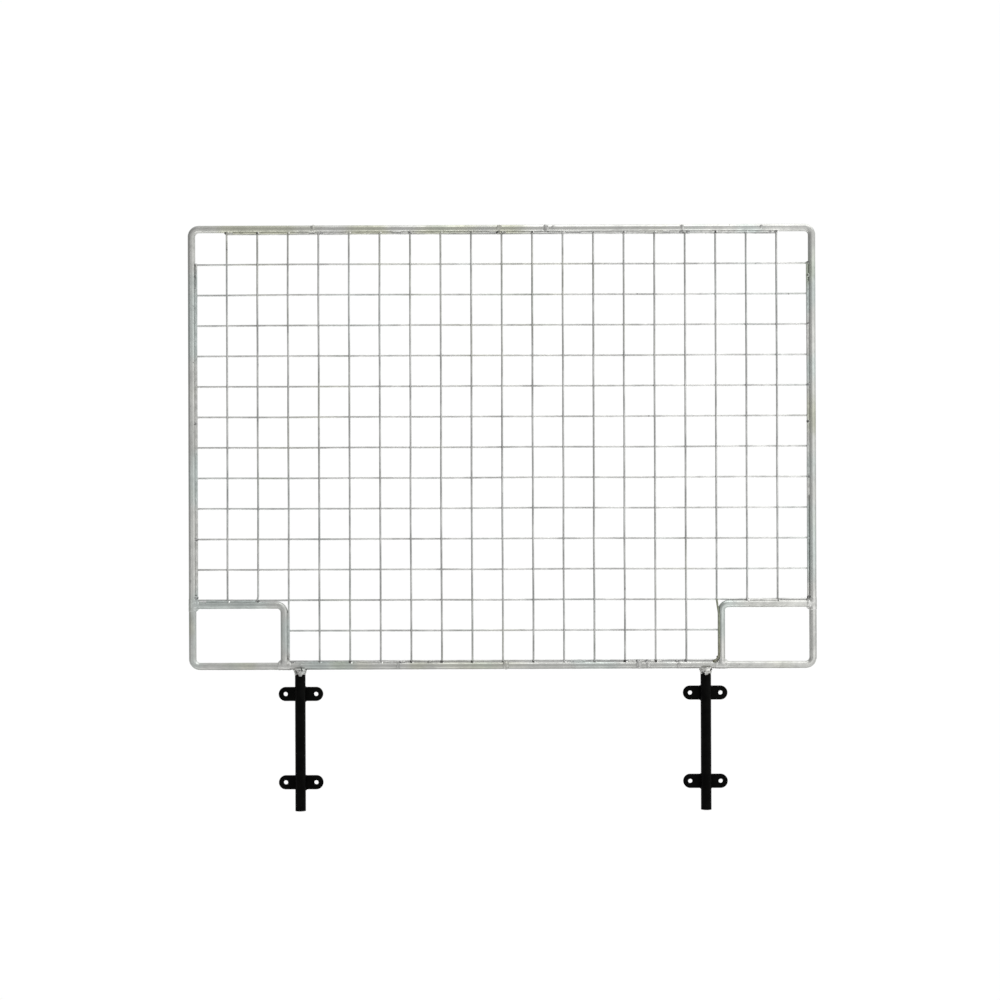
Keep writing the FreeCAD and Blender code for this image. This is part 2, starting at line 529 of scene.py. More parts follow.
class RuleTree(GroupBuilder):
    """Geometry tree that takes a carrier of points or lines, the fields of a form and a material."""

    kinds = {float: "Float", int: "Int", Triple: "Vector"}

    def __init__(self, name: str, form: type) -> None:
        """Makes the tree.

        Args:
            name: Name of the tree.
            form: Form whose fields are inputs of the tree.
        """
        shape = {"Geometry": "Geometry"}
        inputs = {label(field.name): self.kinds[field.type] for field in fields(form)}
        super().__init__(name, "GeometryNodeTree", {**shape, **inputs, "Material": "Material"}, shape)

    def wander(self, shape: NodeSocket, scale: Any, reach: Any, seed: Any) -> NodeSocket:
        """Moves each point by seeded noise.

        Args:
            shape: Geometry to move.
            scale: How quickly the noise changes from place to place.
            reach: Largest move along each axis.
            seed: Which noise.

        Returns:
            Socket of the moved geometry.
        """
        place = self.add("GeometryNodeInputPosition")[0]
        drift = self.noise(place, scale, detail=1.0, W=seed)["Color"]
        centred = self.vector("SUBTRACT", drift, (0.5, 0.5, 0.5))
        offset = self.vector("SCALE", centred, self.math("MULTIPLY", reach, 2.0))
        return self.add("GeometryNodeSetPosition", {"Geometry": shape, "Offset": offset})["Geometry"]

    def even_lines(self) -> NodeSocket:
        """Turns the carrier's lines into curves with points at even steps.

        Returns:
            Socket of the curves.
        """
        lines = self.add("GeometryNodeMeshToCurve", {"Mesh": self.given["Geometry"]})["Curve"]
        inputs = {"Curve": lines, "Length": self.given["Step"]}
        return self.add("GeometryNodeResampleCurve", inputs, mode="LENGTH")["Curve"]

    def tube(self, curve: NodeSocket, radius: Any, scale: Any) -> NodeSocket:
        """Sweeps a ring along curves and closes the ends.

        Args:
            curve: Curves to follow.
            radius: Radius of the ring.
            scale: How many times as wide as the ring the tube is.

        Returns:
            Socket of the mesh.
        """
        ring = {"Resolution": self.given["Sides"], "Radius": radius}
        profile = self.add("GeometryNodeCurvePrimitiveCircle", ring)["Curve"]
        inputs = {"Curve": curve, "Profile Curve": profile, "Scale": scale, "Fill Caps": True}
        return self.add("GeometryNodeCurveToMesh", inputs)["Mesh"]

    def close(self, mesh: NodeSocket) -> NodeTree:
        """Ends the tree in smooth, realized geometry with its material.

        Args:
            mesh: Geometry to end with.

        Returns:
            The finished tree.
        """
        real = self.add("GeometryNodeRealizeInstances", {"Geometry": mesh})["Geometry"]
        smooth = self.add("GeometryNodeSetShadeSmooth", {"Geometry": real})["Geometry"]
        inputs = {"Geometry": smooth, "Material": self.given["Material"]}
        return self.end({"Geometry": self.add("GeometryNodeSetMaterial", inputs)["Geometry"]})


@dataclass(frozen=True)
class WireForm:
    """Section of a drawn wire and how far it strays from a straight line."""

    radius: float
    step: float
    sides: int
    wander: float
    wander_scale: float
    seed: float

    @classmethod
    def tree(cls) -> NodeTree:
        """Round wire along each line of the carrier, not quite straight.

        Returns:
            The tree.
        """
        rule = RuleTree("swept_wire", cls)
        given = rule.given
        bent = rule.wander(rule.even_lines(), given["Wander Scale"], given["Wander"], given["Seed"])
        return rule.close(rule.tube(bent, given["Radius"], 1.0))


@dataclass(frozen=True)
class BeadForm:
    """Section of a weld bead, with its ripples and lumps."""

    lump: float
    seed: float
    radius: float = 1.5 * MM
    step: float = 0.9 * MM
    sides: int = 10
    ripple: float = 0.25
    ripple_length: float = 2.6 * MM

    @classmethod
    def tree(cls, lump_scale: float = 160.0, wander_scale: float = 220.0) -> NodeTree:
        """Weld bead along each line of the carrier, with ripples and lumps.

        Args:
            lump_scale: How quickly the bead's width changes.
            wander_scale: How quickly the bead strays from its line.

        Returns:
            The tree.
        """
        rule = RuleTree("ripple_bead", cls)
        given, even = rule.given, rule.even_lines()
        along = rule.add("GeometryNodeSplineParameter")["Length"]
        turns = rule.math("MULTIPLY", rule.math("DIVIDE", along, given["Ripple Length"]), math.pi)
        crest = rule.math("ABSOLUTE", rule.math("SINE", turns))
        place = rule.add("GeometryNodeInputPosition")[0]
        rough = rule.noise(place, lump_scale, detail=1.0, W=given["Seed"])["Fac"]
        reach = rule.math("MULTIPLY", given["Lump"], 2.0)
        lump = rule.math("MULTIPLY", rule.math("SUBTRACT", rough, 0.5), reach)
        ripple = rule.math("ADD", 1.0, rule.math("MULTIPLY", crest, given["Ripple"]))
        radius = rule.math("MULTIPLY", rule.math("ADD", ripple, lump), given["Radius"])
        sized = rule.add("GeometryNodeSetCurveRadius", {"Curve": even, "Radius": radius})["Curve"]
        stray = rule.math("MULTIPLY", given["Radius"], given["Lump"])
        bent = rule.wander(sized, wander_scale, stray, given["Seed"])
        return rule.close(rule.tube(bent, 1.0, rule.add("GeometryNodeInputRadius")["Radius"]))


@dataclass(frozen=True)
class BlobForm:
    """Size of a drop of weld, how much drops differ and how far they stray."""

    size: Triple
    lump: float
    seed: int
    spread: float = 0.35
    segments: int = 8
    rings: int = 6
    tilt: float = 0.4
    wander: float = 0.0
    wander_scale: float = 0.0
    wander_seed: float = 0.0

    @classmethod
    def tree(cls, lump_scale: float = 300.0, lump_seed: float = 3.0) -> NodeTree:
        """Low lumpy blob on each point of the carrier.

        Args:
            lump_scale: How quickly the lumps follow each other.
            lump_seed: Which lumps.

        Returns:
            The tree.
        """
        rule = RuleTree("weld_blobs", cls)
        given = rule.given
        drift = (given["Wander Scale"], given["Wander"], given["Wander Seed"])
        points = rule.wander(given["Geometry"], *drift)
        form = {"Segments": given["Segments"], "Rings": given["Rings"], "Radius": 1.0}
        ball = rule.add("GeometryNodeMeshUVSphere", form)["Mesh"]
        least, most = (rule.math(way, 1.0, given["Spread"]) for way in ("SUBTRACT", "ADD"))
        shares = {2: least, 3: most, "Seed": given["Seed"]}
        share = rule.add("FunctionNodeRandomValue", shares, data_type="FLOAT")[1]
        size = rule.vector("SCALE", given["Size"], share)
        back, forth = (rule.vector("SCALE", (way, way, way), given["Tilt"]) for way in (-1.0, 1.0))
        turns = {0: back, 1: forth, "Seed": given["Seed"]}
        turn = rule.add("FunctionNodeRandomValue", turns, data_type="FLOAT_VECTOR")[0]
        inputs = {"Points": points, "Instance": ball, "Rotation": turn, "Scale": size}
        placed = rule.add("GeometryNodeInstanceOnPoints", inputs)["Instances"]
        real = rule.add("GeometryNodeRealizeInstances", {"Geometry": placed})["Geometry"]
        return rule.close(rule.wander(real, lump_scale, given["Lump"], lump_seed))


@dataclass(frozen=True)
class Layout:
    """Centre lines and radii of the panel, measured on the frame's nodes."""

    panel_y: float
    bar_radius: float
    left_bar_x: float
    right_bar_x: float
    bottom_bar_z: float
    top_bar_z: float
    corner_bar_z: float
    corner_bar_x: dict[Side, float]
    leg_x: dict[Side, float]
    rim_z: float
    socket_radius: float
    wire_radius: float
    first_column_x: float
    first_row_z: float
    column_pitch: float
    row_pitch: float
    columns: int = 20
    rows: int = 14
    hole_columns: int = 3
    hole_rows: int = 2

    @classmethod
    def measured(cls, wire_diameter: float = 3.0 * MM) -> "Layout":
        """Reads the layout from the boxes of the CAD nodes.

        Args:
            wire_diameter: Diameter of the mesh wire.

        Returns:
            The layout.
        """
        low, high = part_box("perimeter_frame")
        radius, wire = (high.y - low.y) / 2, wire_diameter / 2
        _, left_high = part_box("corner_bar_left")
        right_low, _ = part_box("corner_bar_right")
        mesh_low, mesh_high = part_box("wire_mesh")
        sockets = {side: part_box(f"socket_{side.word}") for side in Side}
        socket_low, socket_high = sockets[Side.LEFT]
        return cls(
            panel_y=(low.y + high.y) / 2,
            bar_radius=radius,
            left_bar_x=low.x + radius,
            right_bar_x=high.x - radius,
            bottom_bar_z=low.z + radius,
            top_bar_z=high.z - radius,
            corner_bar_z=left_high.z - radius,
            corner_bar_x={Side.LEFT: left_high.x - radius, Side.RIGHT: right_low.x + radius},
            leg_x={side: (box[0].x + box[1].x) / 2 for side, box in sockets.items()},
            rim_z=socket_high.z,
            socket_radius=(socket_high.x - socket_low.x) / 2,
            wire_radius=wire,
            first_column_x=mesh_low.x + wire,
            first_row_z=mesh_low.z + wire,
            column_pitch=(mesh_high.x - mesh_low.x - wire_diameter) / cls.columns,
            row_pitch=(mesh_high.z - mesh_low.z - wire_diameter) / cls.rows,
        )

    @property
    def inner_columns(self) -> range:
        """Columns between the hand holes."""
        return range(self.hole_columns, self.columns - self.hole_columns + 1)

    @property
    def hole_wires(self) -> list[int]:
        """Columns whose wires end over a hand hole."""
        return [column for column in range(self.columns + 1) if column not in self.inner_columns]

    def column_x(self, column: float) -> float:
        """Middle of an upright wire, counted from the left."""
        return self.first_column_x + column * self.column_pitch

    def row_z(self, row: float) -> float:
        """Middle of a level wire, counted from the bottom."""
        return self.first_row_z + row * self.row_pitch

    def point(self, x: float, z: float, forward: float = 0.0) -> Vector:
        """Point near the panel's middle plane, moved towards the viewer."""
        return Vector((x, self.panel_y - forward, z))

    def along(self, columns: Iterable[float], z: float, forward: float, shift: float = 0.0) -> Path:
        """Points at some columns, all at one height and moved sideways by a shift."""
        return [self.point(self.column_x(column) + shift, z, forward) for column in columns]

    def rising(self, x: float, rows: Iterable[float], forward: float) -> Path:
        """Points at some rows, one above the other."""
        return [self.point(x, self.row_z(row), forward) for row in rows]


@dataclass
class Assembly:
    """Sub-assembly of the panel, which adds its pieces to the frame."""

    layout: Layout
    finishes: Finishes
    trees: dict[type, NodeTree]

    def add(
        self, name: str, paths: Sequence[Path], form: Any, finish: Material, slot: Slot = Slot.BAR,
        closed: bool = False, replaced: Sequence[str] = (),
    ) -> None:
        """Makes a piece by running the tree of a form on a carrier, and joins it to the frame.

        Args:
            name: Name of the piece.
            paths: Lines that the carrier holds. Blobs go on their points.
            form: Form of the wire, bead or blobs.
            finish: Material of the piece.
            slot: Material slot of the record.
            closed: Whether each line joins its own start.
            replaced: CAD nodes that the piece stands for.
        """
        points: Path = []
        edges: list[tuple[int, int]] = []
        for path in paths:
            first = len(points)
            points += path
            edges += [(first + i, first + i + 1) for i in range(len(path) - 1)]
            if closed:
                edges.append((first + len(path) - 1, first))
        lines = bpy.data.meshes.new(name + "_carrier")
        lines.from_pydata(points, edges, [])
        carrier = linked(name + "_carrier", lines)
        modifier = carrier.modifiers.new("rule", "NODES")
        modifier.node_group = tree = self.trees[type(form)]
        sockets = {item.name: item.identifier for item in tree.interface.items_tree if item.in_out == "INPUT"}
        for key, value in {**vars(form), "material": finish}.items():
            modifier[sockets[label(key)]] = value
        settle(linked(name, plain_mesh(carrier, name)), slot, *replaced)


@dataclass
class WireMesh(Assembly):
    """Welded sheet of upright wires in front of level ones."""

    set_down: float = 0.4 * MM
    tail: float = 2.0 * MM
    coat: float = 0.1 * MM
    wander: float = 0.9 * MM
    wander_scale: float = 5.0
    wander_seed: float = 4.0
    pull: float = 2.8 * MM
    lift: float = 4.4 * MM
    hook: float = 6.0 * MM
    step: float = 5.0 * MM
    sides: int = 10
    nugget: BlobForm = BlobForm(
        (2.2 * MM, 1.5 * MM, 2.2 * MM), lump=0.25 * MM, seed=11, spread=0.18, rings=5, tilt=0.3
    )

    @property
    def layer(self) -> float:
        """Distance of each layer of wires from the panel's middle plane."""
        return self.layout.wire_radius - self.set_down / 2

    @property
    def hooked_column(self) -> int:
        """Column whose lower part leans on the right corner bar."""
        return self.layout.columns - self.layout.hole_columns

    def upright(self, column: int) -> Path:
        """Line of one front wire, short of the hand holes and of the frame's top corners.

        Args:
            column: Column of the wire.

        Returns:
            Points of the line, from its foot up.
        """
        here = self.layout
        x = here.column_x(column)
        whole = here.hole_columns < column < self.hooked_column
        low = here.row_z(0 if whole else here.hole_rows) - self.tail
        high = here.row_z(here.rows - 1 if column in (0, here.columns) else here.rows) + self.tail
        top = here.point(x, high, self.layer)
        if column == here.hole_columns - 1:
            curl = here.point(x - self.hook / 2, low - self.tail / 2, self.layer)
            return [curl, here.point(x, low + self.hook, self.layer), top]
        return [here.point(x, low, self.layer), top]

    def hooked(self) -> Path:
        """Line of the wire that leans on the right corner bar and turns in at its foot.

        Returns:
            Points of the line, from its foot up.
        """
        here = self.layout
        x, foot = here.column_x(self.hooked_column), here.row_z(0)
        front = self.layer + self.lift
        corner = here.row_z(here.hole_rows)
        return [
            here.point(x - self.hook, foot - self.tail, self.layer),
            here.point(x - self.hook / 2, foot, front),
            here.point(x + self.pull * 0.6, foot + 0.8 * self.hook, front),
            here.point(x + self.pull, foot + 2 * self.hook, front),
            here.point(x + self.pull, corner - 4 * self.hook, front),
            here.point(x + self.pull * 0.3, corner - 1.5 * self.hook, self.layer + self.lift * 0.4),
            here.point(x, corner, self.layer),
        ]

    def welded(self) -> Path:
        """Line of the wire's foot that is welded along the left corner bar."""
        here, x = self.layout, self.layout.column_x(self.layout.hole_columns)
        return [here.point(x, here.row_z(row) - self.tail, self.layer) for row in (0, here.hole_rows)]

    def level(self, row: int) -> Path:
        """Line of one rear wire, short of the hand holes and of the frame's top corners.

        Args:
            row: Row of the wire.

        Returns:
            Both ends of the line, from the left.
        """
        here = self.layout
        inset = 1 if row == here.rows else 0
        if row < here.hole_rows:
            inset = here.hole_columns
        ends = ((inset, -self.tail), (here.columns - inset, self.tail))
        return [here.point(here.column_x(end) + out, here.row_z(row), -self.layer) for end, out in ends]

    def crossings(self) -> Path:
        """Points where an upright wire meets a level one.

        Returns:
            The points, column by column.
        """
        here = self.layout
        found = []
        for column in range(here.columns + 1):
            line = self.upright(column)
            for row in range(here.rows + 1):
                span = self.level(row)
                cross = here.point(here.column_x(column), here.row_z(row))
                tall = line[0].z - self.tail < cross.z < line[-1].z
                if tall and span[0].x < cross.x < span[-1].x:
                    found.append(cross)
        return found

    def build(self) -> None:
        """Makes the wires and the welds at their crossings."""
        here, finishes = self.layout, self.finishes
        wander = (self.wander, self.wander_scale, self.wander_seed)
        wire = WireForm(here.wire_radius + self.coat, self.step, self.sides, *wander)
        edges = [self.upright(0), self.upright(here.columns), self.welded()]
        for name, lines, finish in (
            # Upright wires wear the darker copy of the wire zinc: painted shade.
            ("upright_wires", [self.upright(column) for column in range(1, here.columns)], finishes.upright),
            # Edge wires wear the lighter weld zinc: painted light in their nook beside the bars.
            ("edge_wires", edges, finishes.fill),
            # Level wires wear the lighter copy of the wire zinc: painted light.
            ("level_wires", [self.level(row) for row in range(here.rows + 1)], finishes.level),
            # The hooked wire wears the dark olive zinc: painted shade beside the right corner bar.
            ("hooked_wire", [self.hooked()], finishes.olive),
        ):
            self.add(name, lines, wire, finish, Slot.WIRE, replaced=["wire_mesh"])
        nugget = replace(
            self.nugget, wander=self.wander, wander_scale=self.wander_scale, wander_seed=self.wander_seed
        )
        # The crossing welds wear the lighter level-wire zinc: painted light.
        self.add("crossing_welds", [self.crossings()], nugget, finishes.level, Slot.WIRE)


@dataclass
class BarFrame(Assembly):
    """Perimeter frame and corner bars, with the welds that close and join them."""

    weld_proud: float = 0.55 * MM
    weld_reach: float = 5.0 * MM
    web_radius: float = 3.0 * MM
    web_inset: float = 0.2
    stub_sides: int = 24
    grain: float = 0.8 * MM
    soft_share: float = 0.5
    soft_rounds: int = 12
    lump: float = 0.3 * MM
    lump_length: float = 4.0 * MM
    seam_gap: float = 0.1 * MM
    seam_forward: float = 1.7 * MM
    bottom_seams: tuple[Span, ...] = ((3.2, 6.8), (12.2, 12.7), (14.1, 15.2))
    top_seams: tuple[Span, ...] = (
        (1.2, 3.7), (3.9, 6.4), (6.7, 9.6), (9.85, 12.1), (12.6, 15.3), (15.5, 18.9)
    )
    corner_seams: tuple[Span, ...] = ((18.0, 19.0), (0.3, 1.9))
    left_seam: Span = (2.2, 12.2)
    right_seam: Span = (5.4, 12.4)
    foot_seam: Span = (0.2, 1.6)
    seam: BeadForm = BeadForm(
        lump=0.3, seed=21.0, step=1.5 * MM, sides=8, ripple=0.12, ripple_length=5.0 * MM
    )
    butt_column: float = 3.83
    butt_sink: float = 0.9 * MM
    butt_points: int = 32
    butt: BeadForm = BeadForm(
        lump=0.6, seed=5.0, radius=1.6 * MM, step=1.0 * MM, ripple=0.2, ripple_length=3.0 * MM
    )
    nodes: tuple[str, ...] = ("perimeter_frame", "corner_bar_left", "corner_bar_right")

    def dress(self) -> None:
        """Gives the CAD bars their finish. The right corner bar gets a slightly lighter copy of the bar zinc,
        which is painted light.
        """
        for name in self.nodes:
            # The right corner bar wears the lighter copy of the bar zinc: painted light.
            warm = name == "corner_bar_right"
            dress_node(name, self.finishes.warm if warm else self.finishes.bar)

    def joint_stubs(self, shape: bmesh.types.BMesh, centre: Vector, away: Vector, along: Vector) -> None:
        """Adds the rough form of the weld where one bar stands square on another.

        Args:
            shape: Mesh that takes the stubs.
            centre: Point on the other bar's centre line.
            away: Direction of the welded bar.
            along: Direction of the other bar.
        """
        bar, web = self.layout.bar_radius, self.web_radius
        reach, stout = bar + self.weld_reach, bar + self.weld_proud
        half = away.cross(along) * (bar - web)
        stubs = [
            (centre - along * reach, centre + along * reach, stout),
            (centre, centre + away * reach, stout),
        ]
        for hand in (-1, 1):
            nook = centre + (away + along * hand) * (bar + self.web_inset * web)
            stubs.append((nook - half, nook + half, web))
        for start, end, radius in stubs:
            axis = end - start
            turn = axis.to_track_quat("Z", "Y").to_matrix().to_4x4()
            bmesh.ops.create_cone(
                shape, cap_ends=True, segments=self.stub_sides, radius1=radius, radius2=radius,
                depth=axis.length, matrix=Matrix.Translation((start + end) / 2) @ turn,
            )

    def joint_welds(self) -> Object:
        """Melts the stubs of all four joints into smooth, slightly lumpy welds.

        Returns:
            Object at the origin that holds the mesh.
        """
        here = self.layout
        right, up = Vector((1.0, 0.0, 0.0)), Vector((0.0, 0.0, 1.0))
        shape = bmesh.new()
        for side in Side:
            bar_x = here.left_bar_x if side is Side.LEFT else here.right_bar_x
            self.joint_stubs(shape, here.point(bar_x, here.corner_bar_z), right * -side.value, up)
            self.joint_stubs(shape, here.point(here.corner_bar_x[side], here.bottom_bar_z), up, right)
        rough = bpy.data.meshes.new("corner_bar_stubs")
        shape.to_mesh(rough)
        shape.free()
        carrier = linked("corner_bar_stubs", rough)
        melt = carrier.modifiers.new("melt", "REMESH")
        melt.mode, melt.voxel_size, melt.use_smooth_shade = "VOXEL", self.grain, True
        soften = carrier.modifiers.new("soften", "SMOOTH")
        soften.factor, soften.iterations = self.soft_share, self.soft_rounds
        mesh = plain_mesh(carrier, "corner_bar_welds")
        for vertex in mesh.vertices:
            vertex.co += vertex.normal * (self.lump * noise.noise(vertex.co / self.lump_length))
        mesh.materials.clear()
        # The joint welds wear the lighter weld zinc: painted light.
        mesh.materials.append(self.finishes.fill)
        return linked(mesh.name, mesh)

    def seams(self) -> list[Path]:
        """Lines of the long welds that close the nook between an edge wire and a bar, in a lighter zinc that
        is painted light there.

        Returns:
            Both ends of each line: level ones first, then the upright ones.
        """
        here, front = self.layout, self.seam_forward
        nook = here.bar_radius + self.seam_gap
        levels = (
            (here.bottom_bar_z + nook, self.bottom_seams),
            (here.top_bar_z - nook, self.top_seams),
            (here.corner_bar_z + nook, self.corner_seams),
        )
        uprights = (
            (here.left_bar_x + nook, self.left_seam),
            (here.right_bar_x - nook, self.right_seam),
            (here.corner_bar_x[Side.LEFT] + nook, self.foot_seam),
        )
        lines = [here.along(span, z, front) for z, spans in levels for span in spans]
        return lines + [here.rising(x, span, front) for x, span in uprights]

    def butt_ring(self) -> Path:
        """Closed line of the weld that closes the frame's loop in the top bar.

        Returns:
            Points of the line.
        """
        here = self.layout
        centre = here.point(here.column_x(self.butt_column), here.top_bar_z)
        reach = here.bar_radius - self.butt_sink
        return [centre + Vector((0.0, reach * cos, reach * sin)) for cos, sin in circle(self.butt_points)]

    def build(self) -> None:
        """Makes the welds of the corner bars, the seams and the butt weld."""
        settle(self.joint_welds(), Slot.BAR)
        # The seam welds wear the lighter weld zinc: painted light in the nooks.
        self.add("seam_welds", self.seams(), self.seam, self.finishes.fill)
        self.add("butt_weld", [self.butt_ring()], self.butt, self.finishes.weld, closed=True)


@dataclass
class TackWelds(Assembly):
    """Short welds between the edge wires and the bars, weld splashes on the bars and burnt wire tips."""

    top_columns: tuple[float, ...] = (1.0, 4.1, 7.0, 9.9, 10.1, 11.6, 11.9, 15.9, 16.1, 18.8, 19.0)
    bottom_columns: tuple[float, ...] = (3.1, 5.0, 6.65, 7.0, 7.6, 10.0, 12.3, 14.4, 14.7, 15.7, 16.0, 17.0)
    side_rows: tuple[float, ...] = (2.1, 4.0, 6.0, 7.8, 9.0, 11.0, 12.6, 13.0)
    foot_rows: tuple[float, ...] = (0.1,)
    tack_share: float = 0.92
    tack_forward: float = 1.0 * MM
    tack: BlobForm = BlobForm(
        (3.4 * MM, 2.6 * MM, 3.0 * MM), lump=0.9 * MM, seed=3, segments=12, rings=8, tilt=0.5
    )
    top_splashes: tuple[float, ...] = (3.8, 9.93, 11.45, 11.7, 15.9, 18.5)
    bottom_splashes: tuple[float, ...] = (3.4, 6.6, 10.1, 14.45, 14.75, 15.75)
    splash_rise: float = 0.5 * MM
    splash_sink: float = 0.7 * MM
    splash: BlobForm = BlobForm(
        (4.6 * MM, 1.3 * MM, 5.2 * MM), lump=1.0 * MM, seed=17, spread=0.3, segments=14, rings=10, tilt=0.25
    )
    foot_tip: float = 1.2 * MM
    top_tip: float = 1.4 * MM
    hole_tip: float = 1.6 * MM
    tip_forward: float = 1.4 * MM
    wire_scorch: Span = (2.4 * MM, 2.8 * MM)
    bar_scorch: Span = (4.0 * MM, 2.6 * MM)
    bar_scorch_share: float = 0.95
    tip: BlobForm = BlobForm((2.2 * MM, 1.9 * MM, 2.4 * MM), lump=0.5 * MM, seed=8)
    bead_shift: float = 2.4 * MM
    top_bead_share: float = 0.93
    top_bead_forward: float = 2.6 * MM
    low_bead_share: float = 0.88
    low_bead_forward: float = 3.2 * MM
    bead: BlobForm = BlobForm((1.6 * MM, 1.4 * MM, 1.6 * MM), lump=0.4 * MM, seed=29)

    def edge_points(self) -> Path:
        """Places of the tack welds along the bars.

        Returns:
            The points: top, bottom, left, right and the feet of the corner bars.
        """
        here, front = self.layout, self.tack_forward
        into = here.bar_radius * self.tack_share
        places = here.along(self.top_columns, here.top_bar_z - into, front)
        places += here.along(self.bottom_columns, here.bottom_bar_z + into, front)
        places += here.rising(here.left_bar_x + into, self.side_rows, front)
        places += here.rising(here.right_bar_x - into, self.side_rows, front)
        for side in Side:
            places += here.rising(here.corner_bar_x[side] - side.value * into, self.foot_rows, front)
        return places

    def splash_points(self) -> Path:
        """Places where a weld ran over the front of the top and bottom bars.

        Returns:
            The points, top first.
        """
        here, rise = self.layout, self.splash_rise
        front = here.bar_radius - self.splash_sink
        places = here.along(self.top_splashes, here.top_bar_z + rise, front)
        return places + here.along(self.bottom_splashes, here.bottom_bar_z + rise, front)

    def wire_ends(self) -> Path:
        """Burnt tips of the upright wires, and two scorched lumps over the right hand hole.

        Returns:
            The points: along the bottom bar, the top bar and the corner bars, and then the lumps.
        """
        here, front = self.layout, self.tip_forward
        corner = here.row_z(here.hole_rows)
        tips = here.along(here.inner_columns, here.row_z(0) - self.foot_tip, front)
        tips += here.along(range(1, here.columns), here.row_z(here.rows) + self.top_tip, front)
        tips += here.along(here.hole_wires, corner - self.hole_tip, front)
        bar_x = here.right_bar_x - self.bar_scorch_share * here.bar_radius
        lumps = ((here.column_x(here.columns), self.wire_scorch), (bar_x, self.bar_scorch))
        return tips + [here.point(x, corner + rise, forward) for x, (rise, forward) in lumps]

    def bead_points(self) -> Path:
        """Places of the near-white beads that sit on the bars to the right of the wire ends: real weld
        spatter, with a painted highlight in their whiteness.

        Returns:
            The points: along the top bar, the bottom bar and the corner bars.
        """
        here, front, shift = self.layout, self.low_bead_forward, self.bead_shift
        over = self.low_bead_share * here.bar_radius
        top = here.top_bar_z - self.top_bead_share * here.bar_radius
        beads = here.along(range(1, here.columns), top, self.top_bead_forward, shift)
        beads += here.along(here.inner_columns, here.bottom_bar_z + over, front, shift)
        return beads + here.along(here.hole_wires[1:-1], here.corner_bar_z + over, front, shift)

    def build(self) -> None:
        """Makes the tack welds, the burnt wire tips, their near-white beads with a painted highlight, and the
        splashes.
        """
        finishes = self.finishes
        self.add("tack_welds", [self.edge_points()], self.tack, finishes.tack)
        self.add("wire_tips", [self.wire_ends()], self.tip, finishes.burnt, Slot.WIRE)
        # The beads sit right of each tip in near-white zinc: a painted highlight.
        self.add("tip_glint_beads", [self.bead_points()], self.bead, finishes.bright)
        self.add("weld_splashes", [self.splash_points()], self.splash, finishes.weld)


